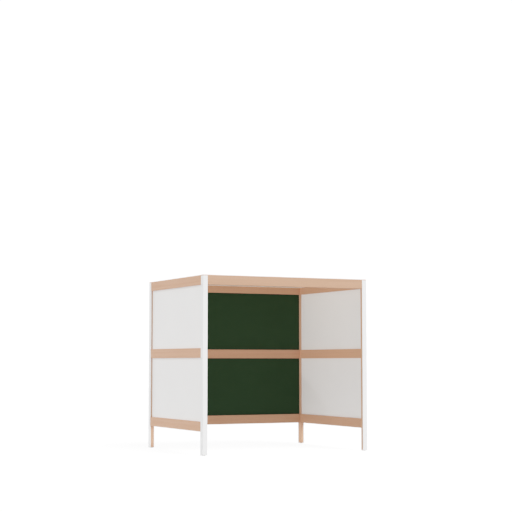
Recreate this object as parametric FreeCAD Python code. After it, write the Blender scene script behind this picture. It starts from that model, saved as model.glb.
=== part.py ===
"""Study carrel: a desk-height frame of beech posts and rails, closed on three sides by thin panels.

Frame: origin on the floor at the centre of the footprint, +X to the sitter's right,
+Y towards the closed rear, +Z up.  Millimetres.
"""
import FreeCAD, Part
import os
from FreeCAD import Vector

# ---- driving dimensions ----
HEIGHT = 740.0            # floor to the top surface
WIDTH = 779.0             # over the corner covers, left to right
DEPTH = 602.0             # over the corner covers, front to rear

POST = 21.0               # side of the square corner post, cover included
POST_CORNER_R = 3.0       # outer vertical corner of the cover and the cap
POST_INNER_R = 7.5        # inner vertical corner, rounded only between the rails
COVER = 3.5               # wall of the white angle cover on the post's two outer faces
COVER_INNER_R = 1.0       # inside corner of the angle cover
PROUD = 1.0               # how far the covers stand out from the rails' outer faces
CAP = 3.0                 # wooden plate that closes the top of each post

RAIL_HEIGHT = 40.0
FLOOR_GAP = 97.0          # clear height under the lowest rails
EDGE_R = 0.8              # eased arris on the wooden pieces
COVER_EDGE_R = 0.5        # eased free edges of the angle cover

PANEL = 4.0               # side and rear panels
GROOVE_DEPTH = 6.0        # panel groove, and the width of the board's seat
PANEL_GAP = 0.5           # room for the panel to move at each vertical edge and at its top
BOARD = 8.0               # top board, flush with the top of the rails
BOARD_EDGE_R = 0.6

DOWEL_R = 3.0
DOWEL_LENGTH = 30.0
DOWEL_IN_POST = 10.0
DOWEL_CHAMFER = 1.0
SCREW_R = 2.5
SCREW_LENGTH = 50.0       # under the head
SCREW_POINT = 6.0
HEAD_R = 4.0
HEAD_HEIGHT = 4.0
HEAD_SINK = 1.0           # depth of the head's top below the wood
SCREW_POINT_R = 0.5       # blunt end of the screw's point
SOCKET_R = 1.7            # inscribed radius of the hexagon socket in the screw head
SOCKET_DEPTH = 2.4
FIRST_FIXING = 10.0       # lowest and highest fixing, from the underside of a rail
LAST_FIXING = 30.0

GLIDE_R = 7.0
GLIDE_HEIGHT = 2.0
GLIDE_EDGE_R = 0.7
STEM_R = 2.5
STEM_LENGTH = 14.0

SPARE = 1.0               # how far a cutting shape reaches past what it cuts
CLOSE = 0.1               # tolerance when edges are picked by place

# ---- derived places ----
LEFT = -WIDTH / 2
FRONT = -DEPTH / 2
AXIS = (PROUD + POST) / 2                 # centre line of a rail, from the covers' outer faces
POST_TOP = HEIGHT - CAP
TOP_LEVEL = HEIGHT - RAIL_HEIGHT
OPENING = (TOP_LEVEL - FLOOR_GAP - 2 * RAIL_HEIGHT) / 2
MID_LEVEL = FLOOR_GAP + RAIL_HEIGHT + OPENING
LEVELS = {"bottom": FLOOR_GAP, "mid": MID_LEVEL, "top": TOP_LEVEL}
PANEL_BASES = {"lower": FLOOR_GAP + RAIL_HEIGHT, "upper": MID_LEVEL + RAIL_HEIGHT}
FREE_LENGTHS = (
    (0.0, LEVELS["bottom"]),
    (PANEL_BASES["lower"], LEVELS["mid"]),
    (PANEL_BASES["upper"], LEVELS["top"]),
)                                         # stretches of a post that no rail meets

# The fixings of the two rails that meet in a post take turns up its height, so they never cross.
PITCH = (LAST_FIXING - FIRST_FIXING) / 3
SIDE_DOWEL = FIRST_FIXING
LONG_SCREW = FIRST_FIXING + PITCH
SIDE_SCREW = FIRST_FIXING + 2 * PITCH
LONG_DOWEL = LAST_FIXING

X = Vector(1, 0, 0)
Y = Vector(0, 1, 0)
Z = Vector(0, 0, 1)
ORIGIN = Vector(0, 0, 0)


# ---- helpers ----
def block(low, high):
    size = Vector(*high) - Vector(*low)
    return Part.makeBox(size.x, size.y, size.z, Vector(*low))


def long_edges(shape, direction, where=None):
    """Straight edges along one direction, and only those whose middle passes the test."""
    chosen = []
    for edge in shape.Edges:
        run = edge.Vertexes[-1].Point - edge.Vertexes[0].Point
        along = run.Length > CLOSE and abs(run.dot(direction)) > run.Length - CLOSE
        if along and (where is None or where(edge.CenterOfMass)):
            chosen.append(edge)
    return chosen


def mirrored(shape, side_x, side_y):
    """Copy of a piece made for the front left corner, in the corner given by two signs."""
    if side_x > 0:
        shape = shape.mirror(ORIGIN, X)
    if side_y > 0:
        shape = shape.mirror(ORIGIN, Y)
    return shape


def square_prism(start, corner_r, low, high):
    """Upright prism of the post's section from `start` inwards, with its outer corner rounded."""
    body = block((LEFT + start, FRONT + start, low), (LEFT + POST, FRONT + POST, high))
    corner = long_edges(body, Z, lambda p: p.x < LEFT + start + CLOSE and p.y < FRONT + start + CLOSE)
    return body.makeFillet(corner_r, corner)


def cylinder_from(point, direction, radius, length):
    return Part.makeCylinder(radius, length, point, direction)


# ---- fixings: a screw and a dowel at each rail end ----
def fixing_points(kind):
    """Where the rails enter the front left post: outer face point and direction, by rail run."""
    if kind == "side":
        return Vector(LEFT + AXIS, FRONT, 0), Y
    return Vector(LEFT, FRONT + AXIS, 0), X


def screw(kind, level):
    height = level + (SIDE_SCREW if kind == "side" else LONG_SCREW)
    outer, run = fixing_points(kind)
    top = outer + run * (COVER + HEAD_SINK) + Z * height
    under_head = top + run * HEAD_HEIGHT
    straight = SCREW_LENGTH - SCREW_POINT
    body = cylinder_from(top, run, HEAD_R, HEAD_HEIGHT)
    body = body.fuse(cylinder_from(under_head, run, SCREW_R, straight))
    tip = Part.makeCone(SCREW_R, SCREW_POINT_R, SCREW_POINT, under_head + run * straight, run)
    socket = hexagon(top, run).extrude(run * SOCKET_DEPTH)
    return body.fuse(tip).removeSplitter().cut(socket)


def hexagon(centre, normal):
    """Hexagonal face about a point, for the socket of a screw."""
    sideways = normal.cross(Z)
    corner_r = SOCKET_R * 2 / 3 ** 0.5
    ring = []
    for step in range(7):
        turn = FreeCAD.Rotation(normal, 60 * step)
        ring.append(centre + turn.multVec(sideways) * corner_r)
    return Part.Face(Part.makePolygon(ring))


def screw_hole(kind, level):
    height = level + (SIDE_SCREW if kind == "side" else LONG_SCREW)
    outer, run = fixing_points(kind)
    mouth = outer + run * COVER + Z * height
    head_depth = HEAD_SINK + HEAD_HEIGHT
    bore = cylinder_from(mouth, run, SCREW_R, head_depth + SCREW_LENGTH)
    return bore.fuse(cylinder_from(mouth, run, HEAD_R, head_depth))


def dowel_blank(kind, level):
    height = level + (SIDE_DOWEL if kind == "side" else LONG_DOWEL)
    outer, run = fixing_points(kind)
    start = outer + run * (POST - DOWEL_IN_POST) + Z * height
    return cylinder_from(start, run, DOWEL_R, DOWEL_LENGTH)


def dowel(kind, level):
    blank = dowel_blank(kind, level)
    return blank.makeChamfer(DOWEL_CHAMFER, [edge for edge in blank.Edges if edge.Closed])


def cut_fixings(shape, kind, level):
    """Holes for the screw and the dowel of one rail end at the front left corner."""
    return shape.cut([screw_hole(kind, level), dowel_blank(kind, level)])


# ---- corner pieces, all made for the front left corner ----
def side_groove(base):
    """Groove in the post for the panel that runs front to rear."""
    middle = LEFT + AXIS
    inner = FRONT + POST
    low = (middle - PANEL / 2, inner - GROOVE_DEPTH, base - GROOVE_DEPTH)
    high = (middle + PANEL / 2, inner + SPARE, base + OPENING + GROOVE_DEPTH)
    return block(low, high)


def long_groove(base):
    """Groove in a rear post for the panel that runs left to right."""
    middle = FRONT + AXIS
    inner = LEFT + POST
    low = (inner - GROOVE_DEPTH, middle - PANEL / 2, base - GROOVE_DEPTH)
    high = (inner + SPARE, middle + PANEL / 2, base + OPENING + GROOVE_DEPTH)
    return block(low, high)


def long_levels(is_rear):
    """Heights of the rails that run left to right: all three at the rear, the top one in front."""
    return list(LEVELS.values()) if is_rear else [LEVELS["top"]]


def inner_corner_waste(low, high):
    """What comes off the post's inner corner to round it between two heights."""
    middle = POST - POST_INNER_R
    waste = block((LEFT + middle, FRONT + middle, low), (LEFT + POST + SPARE, FRONT + POST + SPARE, high))
    axis = Vector(LEFT + middle, FRONT + middle, low)
    return waste.cut(cylinder_from(axis, Z, POST_INNER_R, high - low))


def post(is_rear):
    body = square_prism(COVER, COVER_INNER_R, GLIDE_HEIGHT, POST_TOP)
    inner = long_edges(body, Z, lambda p: p.x > LEFT + POST - CLOSE and p.y > FRONT + POST - CLOSE)
    body = body.makeFillet(EDGE_R, inner)
    for low, high in FREE_LENGTHS:
        body = body.cut(inner_corner_waste(low, high))
    for base in PANEL_BASES.values():
        body = body.cut(side_groove(base))
        if is_rear:
            body = body.cut(long_groove(base))
    for level in LEVELS.values():
        body = cut_fixings(body, "side", level)
    for level in long_levels(is_rear):
        body = cut_fixings(body, "long", level)
    stem = cylinder_from(Vector(LEFT + AXIS, FRONT + AXIS, GLIDE_HEIGHT), Z, STEM_R, STEM_LENGTH)
    return body.cut(stem)


def cover():
    """Angle cover that wraps the two outer faces of a post and hides its screw heads."""
    outer = square_prism(0, POST_CORNER_R, GLIDE_HEIGHT, POST_TOP)
    angle = outer.cut(square_prism(COVER, COVER_INNER_R, GLIDE_HEIGHT - SPARE, POST_TOP + SPARE))

    def on_outer_free_edge(p):
        on_rear_end = p.x < LEFT + CLOSE and p.y > FRONT + POST - CLOSE
        on_right_end = p.y < FRONT + CLOSE and p.x > LEFT + POST - CLOSE
        return on_rear_end or on_right_end

    return angle.makeFillet(COVER_EDGE_R, long_edges(angle, Z, on_outer_free_edge))


def cap():
    plate = square_prism(0, POST_CORNER_R, POST_TOP, HEIGHT)

    def on_outer_top_rim(edge):
        middle = edge.CenterOfMass
        outside = middle.x < LEFT + POST - CLOSE and middle.y < FRONT + POST - CLOSE
        return outside and edge.BoundBox.ZMin > HEIGHT - CLOSE

    return plate.makeFillet(EDGE_R, [edge for edge in plate.Edges if on_outer_top_rim(edge)])


def glide():
    centre = Vector(LEFT + AXIS, FRONT + AXIS, 0)
    disc = cylinder_from(centre, Z, GLIDE_R, GLIDE_HEIGHT)
    rim = [edge for edge in disc.Edges if edge.Closed and edge.BoundBox.ZMax < CLOSE]
    disc = disc.makeFillet(GLIDE_EDGE_R, rim)
    stem = cylinder_from(centre + Z * GLIDE_HEIGHT, Z, STEM_R, STEM_LENGTH)
    return disc.fuse(stem)


# ---- rails, made for the left side and for the front ----
def rail(kind, level_name, panelled):
    """One rail between two posts, with its grooves, its seat for the board and its fixing holes."""
    level = LEVELS[level_name]
    top = level + RAIL_HEIGHT
    if kind == "side":
        body = block((LEFT + PROUD, FRONT + POST, level), (LEFT + POST, -FRONT - POST, top))
        run = Y
    else:
        body = block((LEFT + POST, FRONT + PROUD, level), (-LEFT - POST, FRONT + POST, top))
        run = X
    body = body.makeFillet(EDGE_R, long_edges(body, run))
    if panelled and level_name != "top":
        body = body.cut(rail_groove(kind, top - GROOVE_DEPTH))
    if panelled and level_name != "bottom":
        body = body.cut(rail_groove(kind, level))
    if level_name == "top":
        body = body.cut(board_blank(HEIGHT - BOARD))
    near = screw_hole(kind, level).fuse(dowel_blank(kind, level))
    far = near.mirror(ORIGIN, run)
    return body.cut([near, far])


def rail_groove(kind, low):
    """Panel groove along a rail, from one post to the other."""
    high = low + GROOVE_DEPTH
    if kind == "side":
        middle = LEFT + AXIS
        return block((middle - PANEL / 2, FRONT, low), (middle + PANEL / 2, -FRONT, high))
    middle = FRONT + AXIS
    return block((LEFT, middle - PANEL / 2, low), (-LEFT, middle + PANEL / 2, high))


# ---- panels and board ----
def panel(kind, base):
    """Thin panel standing on the bottom of its lower groove."""
    low = base - GROOVE_DEPTH
    high = base + OPENING + GROOVE_DEPTH - PANEL_GAP
    reach = POST - GROOVE_DEPTH + PANEL_GAP
    if kind == "side":
        middle = LEFT + AXIS
        return block((middle - PANEL / 2, FRONT + reach, low), (middle + PANEL / 2, -FRONT - reach, high))
    middle = FRONT + AXIS
    return block((LEFT + reach, middle - PANEL / 2, low), (-LEFT - reach, middle + PANEL / 2, high))


def board_blank(low):
    """The top board before its corners are notched round the posts."""
    edge = POST - GROOVE_DEPTH
    return block((LEFT + edge, FRONT + edge, low), (-LEFT - edge, -FRONT - edge, HEIGHT))


def board():
    body = board_blank(HEIGHT - BOARD)
    post_place = block((LEFT, FRONT, 0), (LEFT + POST, FRONT + POST, HEIGHT))
    for side_x, side_y in CORNERS.values():
        body = body.cut(mirrored(post_place, side_x, side_y))
    rim = [edge for edge in body.Edges if edge.BoundBox.ZMin > HEIGHT - CLOSE]
    return body.makeFillet(BOARD_EDGE_R, rim)


# ---- assembly ----
CORNERS = {
    "front_left": (-1, -1),
    "front_right": (1, -1),
    "rear_left": (-1, 1),
    "rear_right": (1, 1),
}
# side name: kind of run, sign in x, sign in y, rail levels, panelled or not
SIDES = {
    "left": ("side", -1, -1, ("top", "mid", "bottom"), True),
    "right": ("side", 1, -1, ("top", "mid", "bottom"), True),
    "rear": ("long", -1, 1, ("top", "mid", "bottom"), True),
    "front": ("long", -1, -1, ("top",), False),
}


def build_corners(pieces):
    for name, (side_x, side_y) in CORNERS.items():
        is_rear = side_y > 0
        pieces["post_" + name] = mirrored(post(is_rear), side_x, side_y)
        pieces["cover_" + name] = mirrored(cover(), side_x, side_y)
        pieces["cap_" + name] = mirrored(cap(), side_x, side_y)
        pieces["glide_" + name] = mirrored(glide(), side_x, side_y)


def build_sides(pieces):
    for name, (kind, side_x, side_y, level_names, panelled) in SIDES.items():
        run = Y if kind == "side" else X
        screws = []
        dowels = []
        for level_name in level_names:
            piece = mirrored(rail(kind, level_name, panelled), side_x, side_y)
            pieces["rail_" + level_name + "_" + name] = piece
            level = LEVELS[level_name]
            for group, made in ((screws, screw(kind, level)), (dowels, dowel(kind, level))):
                group.append(mirrored(made, side_x, side_y))
                group.append(mirrored(made.mirror(ORIGIN, run), side_x, side_y))
        pieces["screws_" + name] = Part.makeCompound(screws)
        pieces["dowels_" + name] = Part.makeCompound(dowels)
        if panelled:
            for height_name, base in PANEL_BASES.items():
                piece = mirrored(panel(kind, base), side_x, side_y)
                pieces["panel_" + height_name + "_" + name] = piece


def main():
    pieces = {}
    build_corners(pieces)
    build_sides(pieces)
    pieces["top_board"] = board()
    os.makedirs("parts", exist_ok=True)
    for name, shape in pieces.items():
        shape.exportStep("parts/" + name + ".step")
        print(name, len(shape.Solids), "solid(s), valid" if shape.isValid() else "INVALID",
              round(shape.Volume / 1000, 2), "cm3")


main()
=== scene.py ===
"""Looks of the study carrel: materials, studio light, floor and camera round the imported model."""
import math

import bmesh
import bpy
from mathutils import Euler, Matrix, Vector


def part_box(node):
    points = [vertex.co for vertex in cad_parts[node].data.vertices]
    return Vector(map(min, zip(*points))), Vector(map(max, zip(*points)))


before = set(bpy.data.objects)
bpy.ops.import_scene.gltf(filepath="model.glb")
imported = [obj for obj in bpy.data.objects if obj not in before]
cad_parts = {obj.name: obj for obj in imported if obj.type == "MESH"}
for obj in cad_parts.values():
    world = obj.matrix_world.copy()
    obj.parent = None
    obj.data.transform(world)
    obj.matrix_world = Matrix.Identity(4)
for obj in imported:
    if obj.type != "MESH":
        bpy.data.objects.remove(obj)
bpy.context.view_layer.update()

# ---- where the camera stands, in metres from the centre of the footprint ----
CAMERA_PLACE = (-2.5923, -5.3102, 0.3807)
CAMERA_HEADING = 26.02          # degrees from +Y towards +X
CAMERA_TILT = 4.557             # degrees above the horizon
CAMERA_LENS = 93.64             # mm
CAMERA_SENSOR = 36.0            # mm

# ---- light: strengths are the radiance of a white card facing it, angles are in degrees ----
SKY = 0.15                      # even light from above the horizon
GROUND = 0.30                   # even light from below it
HORIZON_BLEND = 0.15            # height over which one turns into the other
SUNS = (                        # name, strength, spread, heading it shines to, drop, casts shadows or not
    ("key", 1.27, 30.0, -20.0, 60.0, True),
    ("left_key", 0.28, 30.0, 108.0, 40.0, True),
    ("fill_from_left", 0.290, 60.0, 90.0, 0.0, False),
    ("fill_from_front", 0.14, 60.0, 0.0, 0.0, False),
    ("fill_from_right", 0.45, 60.0, 270.0, 0.0, False),
    ("fill_from_rear", 0.34, 60.0, 180.0, 0.0, False),
)
LEG_LIGHTS = {"post_rear_left": 0.56, "post_rear_right": 0.23}
LEG_LIGHT_AWAY = 3.0            # distance from a rear leg to its narrow spot, in metres
LEG_LIGHT_HEADING = 16.0
LEG_LIGHT_RADIUS = 0.02
LEG_LIGHT_SOFT_EDGE = 0.1       # share of the spot's cone over which it fades out
FLOOR_GLOW = 1.06               # light that the floor gives by itself
FLOOR_ALBEDO = 0.08
FLOOR_RADIUS = 40.0             # metres
BACKDROP_RADIUS = 45.0
BACKDROP_GLOW = 1.16
ROUND_SEGMENTS = 96             # of the floor, and half as many round the backdrop

# ---- film: shown value = FILM_TOP * (1 - exp(-FILM_SPEED * radiance)), then straight to white ----
FILM_TOP = 1.010
FILM_SPEED = 2.15
FILM_SHOULDER = 0.92            # radiance where the exponential part ends
FILM_WHITE = 1.15               # radiance shown as white
FILM_STEPS = 16

# ---- colours, linear ----
BEECH_PALE = (0.557, 0.300, 0.186)
BEECH_DEEP = (0.522, 0.277, 0.169)
BEECH_FLECK = (0.310, 0.140, 0.072)
BEECH_EDGE = (0.560, 0.305, 0.190)
PAINTED_LIGHT_AND_SHADE_TINTS = {                # painted light and shade: each listed piece made lighter or darker to make up for how light falls on it
    "rail_top_front": (0.84, 0.92, 1.00),
    "rail_top_rear": (1.05, 1.06, 1.06),
    "rail_mid_right": (1.08, 1.08, 1.08),
    "post_front_right": (1.12, 1.16, 1.17),
    "post_rear_left": (0.99, 1.05, 1.13),
    "post_rear_right": (0.97, 1.03, 1.11),
}
DOWEL_PALE = (0.600, 0.360, 0.210)
DOWEL_DEEP = (0.530, 0.300, 0.170)
COVER_WHITE = (0.820, 0.820, 0.818)
SCUFF_GREY = (0.640, 0.630, 0.610)
PANEL_GREY = (0.825, 0.812, 0.798)
PANEL_GREEN = (0.0144, 0.0350, 0.0128)
# painted shade on the board's upper half, darker than its laminate, and painted light on its underside,
# lighter and warmer
BOARD_GREY = (0.560, 0.549, 0.534)
BOARD_UNDERSIDE_PAINTED_LIGHT = (0.960, 0.865, 0.740)
NYLON = (0.720, 0.710, 0.680)
ZINC = (0.560, 0.565, 0.575)

# ---- features of the surfaces, in metres ----
GRAIN_WANDER = (0.35, 0.05, 0.05)       # timber: along, across and through the grain
GRAIN_BEND = 0.006                      # how far the grain strays from straight
GRAIN_RINGS = (0.60, 0.009, 0.012)
GRAIN_STREAKS = (0.12, 0.0016, 0.0016)
GRAIN_PORES = (0.014, 0.00045, 0.00045)
GRAIN_FLECKS = (0.0055, 0.0013, 0.0013)
GRAIN_PATCHES = (0.05, 0.02, 0.02)
GRAIN_SHIFT = 7.31                      # features from one piece's stretch of timber to the next
GRAIN_RELIEF = 0.00004
EDGE_WEAR_REACH = 0.0022
PEEL = (0.0016, 0.0016, 0.0016)         # white coat
COAT_CLOUDS = (0.03, 0.03, 0.16)
COAT_SCRATCHES = (0.011, 0.011, 0.0011)
SCUFF_LOW = 0.02                        # scuffs fade from this height
SCUFF_HIGH = 0.13                       # to this one
PEARL = (0.0011, 0.0011, 0.0011)        # laminate
SPECKS = (0.0028, 0.0028, 0.0028)
LAMINATE_CLOUDS = (0.14, 0.14, 0.14)
RUBBED_PATCHES = (0.07, 0.07, 0.03)
LIT_AND_SHADED_HALF_BLEND = 0.0001                           # half the blend between a board's painted-light lower half and its painted-shade upper half
MOULD_FLOW = (0.004, 0.004, 0.002)      # nylon
SPANGLE = (0.0022, 0.0022, 0.0022)      # zinc
ZINC_BRUSHING = (0.0004, 0.0004, 0.0004)
ZINC_RELIEF = 0.00002
FINE_RELIEF = 0.00003                   # coat, laminate and nylon
FLOOR_CLOUDS = (0.5, 0.5, 0.5)

AXES = "xyz"


class Tree:
    """A material's node tree, with short calls that add and join nodes."""

    def __init__(self, name):
        self.material = bpy.data.materials.new(name)
        self.material.use_nodes = True
        self.nodes = self.material.node_tree.nodes
        self.links = self.material.node_tree.links
        self.nodes.clear()
        output = self.nodes.new("ShaderNodeOutputMaterial")
        self.surface = self.nodes.new("ShaderNodeBsdfPrincipled")
        self.links.new(self.surface.outputs["BSDF"], output.inputs["Surface"])

    def set(self, socket, value):
        """Joins a socket to another node's output, or gives it a plain value."""
        if isinstance(value, bpy.types.NodeSocket):
            self.links.new(value, socket)
        elif isinstance(value, tuple) and len(value) == 3 and socket.type == "RGBA":
            socket.default_value = (*value, 1.0)
        else:
            socket.default_value = value

    def math(self, operation, *values):
        node = self.nodes.new("ShaderNodeMath")
        node.operation = operation
        for socket, value in zip(node.inputs, values):
            self.set(socket, value)
        return node.outputs[0]

    def place(self):
        """The point on the piece in the row frame, in metres, as three outputs."""
        coordinates = self.nodes.new("ShaderNodeTexCoord")
        split = self.nodes.new("ShaderNodeSeparateXYZ")
        self.links.new(coordinates.outputs["Object"], split.inputs[0])
        return split.outputs

    def vector(self, *values):
        node = self.nodes.new("ShaderNodeCombineXYZ")
        for socket, value in zip(node.inputs, values):
            self.set(socket, value)
        return node.outputs[0]

    def stretched(self, point, sizes, shift=0.0):
        """The point divided by a feature's size along each axis, so that one unit is one feature."""
        parts = []
        for value, size in zip(point, sizes):
            parts.append(self.math("MULTIPLY_ADD", value, 1.0 / size, shift))
        return self.vector(*parts)

    def noise(self, where, detail=2.0, roughness=0.5):
        node = self.nodes.new("ShaderNodeTexNoise")
        self.set(node.inputs["Vector"], where)
        self.set(node.inputs["Scale"], 1.0)
        self.set(node.inputs["Detail"], detail)
        self.set(node.inputs["Roughness"], roughness)
        return node.outputs["Fac"]

    def cells(self, where):
        """Distance to the nearest cell point, and a random value for that cell."""
        node = self.nodes.new("ShaderNodeTexVoronoi")
        self.set(node.inputs["Vector"], where)
        self.set(node.inputs["Scale"], 1.0)
        split = self.nodes.new("ShaderNodeSeparateXYZ")
        self.links.new(node.outputs["Color"], split.inputs[0])
        return node.outputs["Distance"], split.outputs["X"]

    def span(self, value, low, high, to_low=0.0, to_high=1.0):
        """Smooth step from to_low to to_high while the value runs from low to high."""
        node = self.nodes.new("ShaderNodeMapRange")
        node.interpolation_type = "SMOOTHSTEP"
        self.set(node.inputs["Value"], value)
        self.set(node.inputs["From Min"], low)
        self.set(node.inputs["From Max"], high)
        self.set(node.inputs["To Min"], to_low)
        self.set(node.inputs["To Max"], to_high)
        return node.outputs["Result"]

    def mix(self, share, first, second):
        node = self.nodes.new("ShaderNodeMix")
        node.data_type = "RGBA"
        self.set(node.inputs["Factor"], share)
        self.set(node.inputs["A"], first)
        self.set(node.inputs["B"], second)
        return node.outputs["Result"]

    def scaled(self, colour, factor):
        """A colour made lighter or darker by a factor."""
        node = self.nodes.new("ShaderNodeVectorMath")
        node.operation = "SCALE"
        self.set(node.inputs[0], colour)
        self.set(node.inputs["Scale"], factor)
        return node.outputs[0]

    def bump(self, height, depth):
        """Surface relief from a height between 0 and 1, worth depth in metres."""
        node = self.nodes.new("ShaderNodeBump")
        self.set(node.inputs["Height"], height)
        self.set(node.inputs["Distance"], depth)
        self.set(node.inputs["Strength"], 1.0)
        return node.outputs["Normal"]

    def finish(self, **inputs):
        for name, value in inputs.items():
            self.set(self.surface.inputs[name.replace("_", " ")], value)
        return self.material


def edge_wear(tree, node_name, point, axis, reach):
    """1 on the long edges of a straight piece, falling to 0 at reach metres from them."""
    low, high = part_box(node_name)
    nearest = []
    for number in range(3):
        if AXES[number] != axis:
            middle = (low[number] + high[number]) / 2
            half = (high[number] - low[number]) / 2
            off_middle = tree.math("ABSOLUTE", tree.math("SUBTRACT", point[number], middle))
            nearest.append(tree.math("SUBTRACT", half, off_middle))
    distance = tree.math("MAXIMUM", *nearest)
    return tree.span(distance, 0.0, reach, 1.0, 0.0)


# ---- materials ----
def beech(node_name, axis, number, pale=BEECH_PALE, deep=BEECH_DEEP):
    """Lacquered beech with its grain along one axis; the number picks its own stretch of timber."""
    tree = Tree("beech_" + node_name)
    point = tree.place()
    order = [AXES.index(axis)] + [n for n in range(3) if AXES[n] != axis]
    along, across, through = [point[n] for n in order]
    own = GRAIN_SHIFT * number
    wander = tree.noise(tree.stretched((along, across, through), GRAIN_WANDER, own), 1.0)
    bent = tree.math("MULTIPLY_ADD", wander, GRAIN_BEND, across)
    grain_point = (along, bent, through)
    rings = tree.noise(tree.stretched(grain_point, GRAIN_RINGS, own), 3.0, 0.6)
    streaks = tree.noise(tree.stretched(grain_point, GRAIN_STREAKS, own), 2.0, 0.6)
    pores = tree.noise(tree.stretched(grain_point, GRAIN_PORES, own), 1.0, 0.5)
    distance, chance = tree.cells(tree.stretched(grain_point, GRAIN_FLECKS, own))
    fleck = tree.math("MULTIPLY", tree.span(distance, 0.16, 0.30, 1.0, 0.0), tree.span(chance, 0.35, 0.6))
    tone = tree.span(rings, 0.30, 0.70)
    tone = tree.math("MULTIPLY_ADD", tree.math("SUBTRACT", streaks, 0.5), 0.75, tone)
    # painted light and shade: the listed pieces have their colour scaled up or down to make up for how
    # light falls on them
    tint = PAINTED_LIGHT_AND_SHADE_TINTS.get(node_name, (1.0, 1.0, 1.0))
    pale = tuple(value * factor for value, factor in zip(pale, tint))
    deep = tuple(value * factor for value, factor in zip(deep, tint))
    colour = tree.mix(tree.math("MINIMUM", tree.math("MAXIMUM", tone, 0.0), 1.0), deep, pale)
    colour = tree.mix(tree.math("MULTIPLY", fleck, 0.42), colour, BEECH_FLECK)
    colour = tree.scaled(colour, tree.span(pores, 0.25, 0.75, 0.965, 1.03))
    worn = edge_wear(tree, node_name, point, axis, EDGE_WEAR_REACH)
    patches = tree.noise(tree.stretched(grain_point, GRAIN_PATCHES, own), 2.0)
    patchy = tree.span(patches, 0.35, 0.65, 0.2, 0.75)
    colour = tree.mix(tree.math("MULTIPLY", worn, patchy), colour, BEECH_EDGE)
    relief = tree.math("SUBTRACT", tree.math("MULTIPLY_ADD", streaks, 0.6, pores), fleck)
    roughness = tree.math("MULTIPLY_ADD", tone, -0.08, 0.50)
    roughness = tree.math("MULTIPLY_ADD", fleck, 0.10, roughness)
    return tree.finish(Base_Color=colour, Roughness=roughness, Normal=tree.bump(relief, GRAIN_RELIEF),
                       Specular_IOR_Level=0.10, Coat_Weight=0.02, Coat_Roughness=0.30)


def powder_coat(node_name):
    """Matt white coat with a faint orange peel, and a little scuffed where shoes reach it."""
    tree = Tree("white_coat_" + node_name)
    point = tree.place()
    peel = tree.noise(tree.stretched(point, PEEL), 2.0, 0.55)
    cloud = tree.noise(tree.stretched(point, COAT_CLOUDS), 3.0)
    scratch = tree.noise(tree.stretched(point, COAT_SCRATCHES), 3.0, 0.6)
    low_down = tree.span(point["Z"], SCUFF_LOW, SCUFF_HIGH, 1.0, 0.0)
    scuff = tree.math("MULTIPLY", tree.span(scratch, 0.60, 0.70), low_down)
    colour = tree.scaled(COVER_WHITE, tree.span(cloud, 0.3, 0.7, 0.985, 1.01))
    colour = tree.mix(tree.math("MULTIPLY", scuff, 0.22), colour, SCUFF_GREY)
    roughness = tree.math("MULTIPLY_ADD", cloud, 0.10, 0.40)
    return tree.finish(Base_Color=colour, Roughness=roughness, Normal=tree.bump(peel, FINE_RELIEF),
                       Specular_IOR_Level=0.28)


def laminate(node_name, base, painted_light_underside=None, variation=0.008, dullness=0.50, gloss=0.22):
    """Matt laminate: a fine pearl texture over an even colour, with faint rubbed patches.

    A board may have its lower half painted in a lighter, warmer colour: painted light standing in for the
    light that its underside lacks.
    """
    tree = Tree("laminate_" + node_name)
    point = tree.place()
    if painted_light_underside:
        low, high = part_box(node_name)
        middle = (low.z + high.z) / 2
        # painted light: below the board's middle the lighter, warmer underside colour takes over from the
        # darker top
        base = tree.mix(tree.span(point["Z"], middle - LIT_AND_SHADED_HALF_BLEND, middle + LIT_AND_SHADED_HALF_BLEND), painted_light_underside, base)
    pearl = tree.noise(tree.stretched(point, PEARL), 2.0, 0.6)
    speck = tree.noise(tree.stretched(point, SPECKS), 3.0, 0.7)
    cloud = tree.noise(tree.stretched(point, LAMINATE_CLOUDS), 3.0)
    tint = tree.math("ADD", tree.span(speck, 0.3, 0.7, -variation, variation),
                     tree.span(cloud, 0.3, 0.7, 1.0 - variation, 1.0 + variation))
    rubbed = tree.span(tree.noise(tree.stretched(point, RUBBED_PATCHES), 4.0, 0.65), 0.4, 0.75)
    roughness = tree.math("MULTIPLY_ADD", rubbed, -0.10, dullness)
    return tree.finish(Base_Color=tree.scaled(base, tint), Roughness=roughness,
                       Normal=tree.bump(pearl, FINE_RELIEF), Specular_IOR_Level=gloss)


def nylon(node_name):
    """Moulded nylon in its natural colour, with faint flow marks."""
    tree = Tree("nylon_" + node_name)
    point = tree.place()
    flow = tree.noise(tree.stretched(point, MOULD_FLOW), 3.0)
    colour = tree.scaled(NYLON, tree.span(flow, 0.3, 0.7, 0.94, 1.03))
    return tree.finish(Base_Color=colour, Roughness=tree.math("MULTIPLY_ADD", flow, 0.2, 0.35),
                       Normal=tree.bump(flow, FINE_RELIEF), Subsurface_Weight=0.05)


def zinc_plate(node_name):
    """Zinc-plated steel with small spangles."""
    tree = Tree("zinc_" + node_name)
    point = tree.place()
    spangle, chance = tree.cells(tree.stretched(point, SPANGLE))
    brushed = tree.noise(tree.stretched(point, ZINC_BRUSHING), 2.0)
    colour = tree.scaled(ZINC, tree.math("MULTIPLY_ADD", chance, 0.12, 0.92))
    roughness = tree.math("MULTIPLY_ADD", brushed, 0.15, 0.28)
    return tree.finish(Base_Color=colour, Metallic=1.0, Roughness=roughness,
                       Normal=tree.bump(spangle, ZINC_RELIEF))


def grain_axis(node_name):
    """Posts and rails have their grain along their length, and caps left to right."""
    if node_name.startswith("cap"):
        return "x"
    low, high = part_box(node_name)
    size = high - low
    return AXES[max(range(3), key=lambda number: size[number])]


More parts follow.
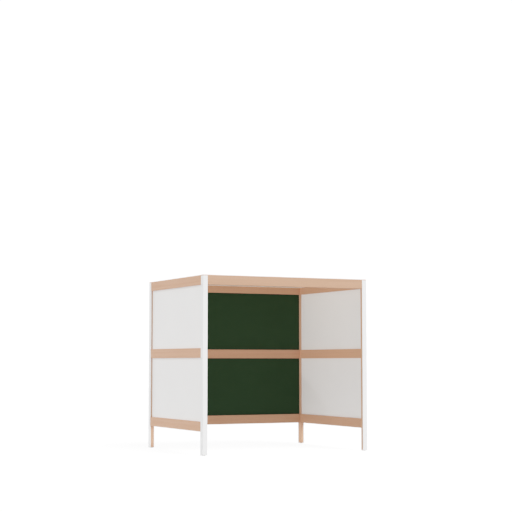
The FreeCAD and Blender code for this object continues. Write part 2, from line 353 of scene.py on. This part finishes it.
def dress_nodes():
    """Gives every CAD node its finished material."""
    for number, (name, piece) in enumerate(sorted(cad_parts.items())):
        kind = name.split("_")[0]
        if kind in ("post", "rail", "cap"):
            material = beech(name, grain_axis(name), number)
        elif kind == "dowels":
            axis = "x" if name.endswith(("front", "rear")) else "y"
            material = beech(name, axis, number, DOWEL_PALE, DOWEL_DEEP)
        elif kind == "cover":
            material = powder_coat(name)
        elif kind == "panel" and name.endswith("rear"):
            material = laminate(name, PANEL_GREEN, variation=0.012, dullness=0.62, gloss=0.08)
        elif kind == "panel":
            material = laminate(name, PANEL_GREY)
        elif kind == "top":
            # painted light and shade: the board's top half is painted darker and its underside half
            # lighter than its laminate
            material = laminate(name, BOARD_GREY, BOARD_UNDERSIDE_PAINTED_LIGHT)
        elif kind == "glide":
            material = nylon(name)
        else:
            material = zinc_plate(name)
        piece.data.materials.clear()
        piece.data.materials.append(material)


# ---- studio ----
def add_round_mesh(name, build, material):
    """Links a round mesh made by a bmesh call."""
    mesh = bpy.data.meshes.new(name)
    shape = bmesh.new()
    build(shape)
    shape.to_mesh(mesh)
    shape.free()
    mesh.materials.append(material)
    piece = bpy.data.objects.new(name, mesh)
    bpy.context.scene.collection.objects.link(piece)
    return piece


def light_nothing(piece):
    """Leaves a piece of the stage to be looked at only, so that it neither lights nor shades the part."""
    for kind in ("diffuse", "glossy", "transmission", "volume_scatter", "shadow"):
        setattr(piece, "visible_" + kind, False)


def add_floor():
    """Wide pale floor, which mostly glows by itself so that the part's shadow on it stays faint."""
    tree = Tree("floor_paint")
    point = tree.place()
    cloud = tree.noise(tree.stretched(point, FLOOR_CLOUDS), 3.0)
    colour = tree.scaled((FLOOR_ALBEDO,) * 3, tree.span(cloud, 0.3, 0.7, 0.995, 1.0))
    paint = tree.finish(Base_Color=colour, Roughness=0.9, Specular_IOR_Level=0.0,
                        Emission_Color=(1.0, 1.0, 1.0), Emission_Strength=FLOOR_GLOW)

    def disc(shape):
        bmesh.ops.create_circle(shape, cap_ends=True, segments=ROUND_SEGMENTS, radius=FLOOR_RADIUS)

    light_nothing(add_round_mesh("floor", disc, paint))


def add_backdrop():
    """White dome all round the studio."""
    tree = Tree("backdrop_paint")
    paint = tree.finish(Base_Color=(0.0, 0.0, 0.0), Emission_Color=(1.0, 1.0, 1.0),
                        Emission_Strength=BACKDROP_GLOW)

    def dome(shape):
        bmesh.ops.create_uvsphere(shape, u_segments=ROUND_SEGMENTS // 2, v_segments=ROUND_SEGMENTS // 4,
                                  radius=BACKDROP_RADIUS)

    light_nothing(add_round_mesh("backdrop", dome, paint))


def add_sun(name, strength, spread, heading, drop, shadows):
    """A sun that shines towards its heading, tilted down by its drop."""
    lamp = bpy.data.lights.new(name, "SUN")
    lamp.energy = math.pi * strength
    lamp.angle = math.radians(spread)
    lamp.use_shadow = shadows
    sun = bpy.data.objects.new(name, lamp)
    heading, drop = math.radians(heading), math.radians(drop)
    level = math.cos(drop)
    shines = Vector((math.sin(heading) * level, math.cos(heading) * level, -math.sin(drop)))
    sun.rotation_euler = shines.to_track_quat("-Z", "Y").to_euler()
    bpy.context.scene.collection.objects.link(sun)


def add_leg_light(node_name, strength):
    """A narrow spot from the front on one rear leg, as wide as the leg's free length."""
    low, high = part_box(node_name)
    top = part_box("rail_bottom_rear")[0].z
    target = Vector(((low.x + high.x) / 2, low.y, top / 2))
    heading = math.radians(LEG_LIGHT_HEADING)
    away = Vector((math.sin(heading), math.cos(heading), 0.0)) * LEG_LIGHT_AWAY
    lamp = bpy.data.lights.new("leg_light_" + node_name, "SPOT")
    lamp.energy = 4 * math.pi ** 2 * strength * LEG_LIGHT_AWAY ** 2
    lamp.spot_size = 2 * math.atan(top / 2 / LEG_LIGHT_AWAY)
    lamp.spot_blend = LEG_LIGHT_SOFT_EDGE
    lamp.shadow_soft_size = LEG_LIGHT_RADIUS
    lamp.use_shadow = False
    spot = bpy.data.objects.new("leg_light_" + node_name, lamp)
    spot.location = target - away
    spot.rotation_euler = away.to_track_quat("-Z", "Y").to_euler()
    bpy.context.scene.collection.objects.link(spot)


def add_light():
    """Two soft keys, level fills all round, a spot on each rear leg, and an even sky, brighter below."""
    world = bpy.data.worlds.new("studio")
    world.use_nodes = True
    nodes, links = world.node_tree.nodes, world.node_tree.links
    direction = nodes.new("ShaderNodeTexCoord")
    split = nodes.new("ShaderNodeSeparateXYZ")
    links.new(direction.outputs["Generated"], split.inputs[0])
    strength = nodes.new("ShaderNodeMapRange")
    links.new(split.outputs["Z"], strength.inputs["Value"])
    strength.inputs["From Min"].default_value = -HORIZON_BLEND
    strength.inputs["From Max"].default_value = HORIZON_BLEND
    strength.inputs["To Min"].default_value = GROUND
    strength.inputs["To Max"].default_value = SKY
    background = nodes["Background"]
    background.inputs["Color"].default_value = (1.0, 1.0, 1.0, 1.0)
    links.new(strength.outputs["Result"], background.inputs["Strength"])
    bpy.context.scene.world = world
    for sun in SUNS:
        add_sun(*sun)
    for leg_light in LEG_LIGHTS.items():
        add_leg_light(*leg_light)


def film(radiance):
    """Shown value of a radiance below the shoulder's end."""
    return FILM_TOP * (1 - math.exp(-FILM_SPEED * radiance))


def set_film():
    """Gives the picture the soft shoulder of film, so that bright faces keep their tone."""
    view = bpy.context.scene.view_settings
    view.view_transform = "Standard"
    view.use_curve_mapping = True
    mapping = view.curve_mapping
    mapping.white_level = (FILM_WHITE,) * 3
    curve = mapping.curves[3]
    for step in range(1, FILM_STEPS + 1):
        radiance = FILM_SHOULDER * step / FILM_STEPS
        point = curve.points.new(radiance / FILM_WHITE, film(radiance))
    point.handle_type = "VECTOR"        # the last point, where the straight stretch to white begins
    mapping.update()


def add_camera():
    """Camera low in front, a little to the left of the part."""
    lens = bpy.data.cameras.new("camera")
    lens.lens = CAMERA_LENS
    lens.sensor_width = CAMERA_SENSOR
    camera = bpy.data.objects.new("camera", lens)
    camera.location = CAMERA_PLACE
    camera.rotation_euler = Euler((math.radians(90 + CAMERA_TILT), 0, math.radians(-CAMERA_HEADING)))
    bpy.context.scene.collection.objects.link(camera)
    bpy.context.scene.camera = camera


add_camera()
add_light()
add_floor()
add_backdrop()
set_film()
dress_nodes()
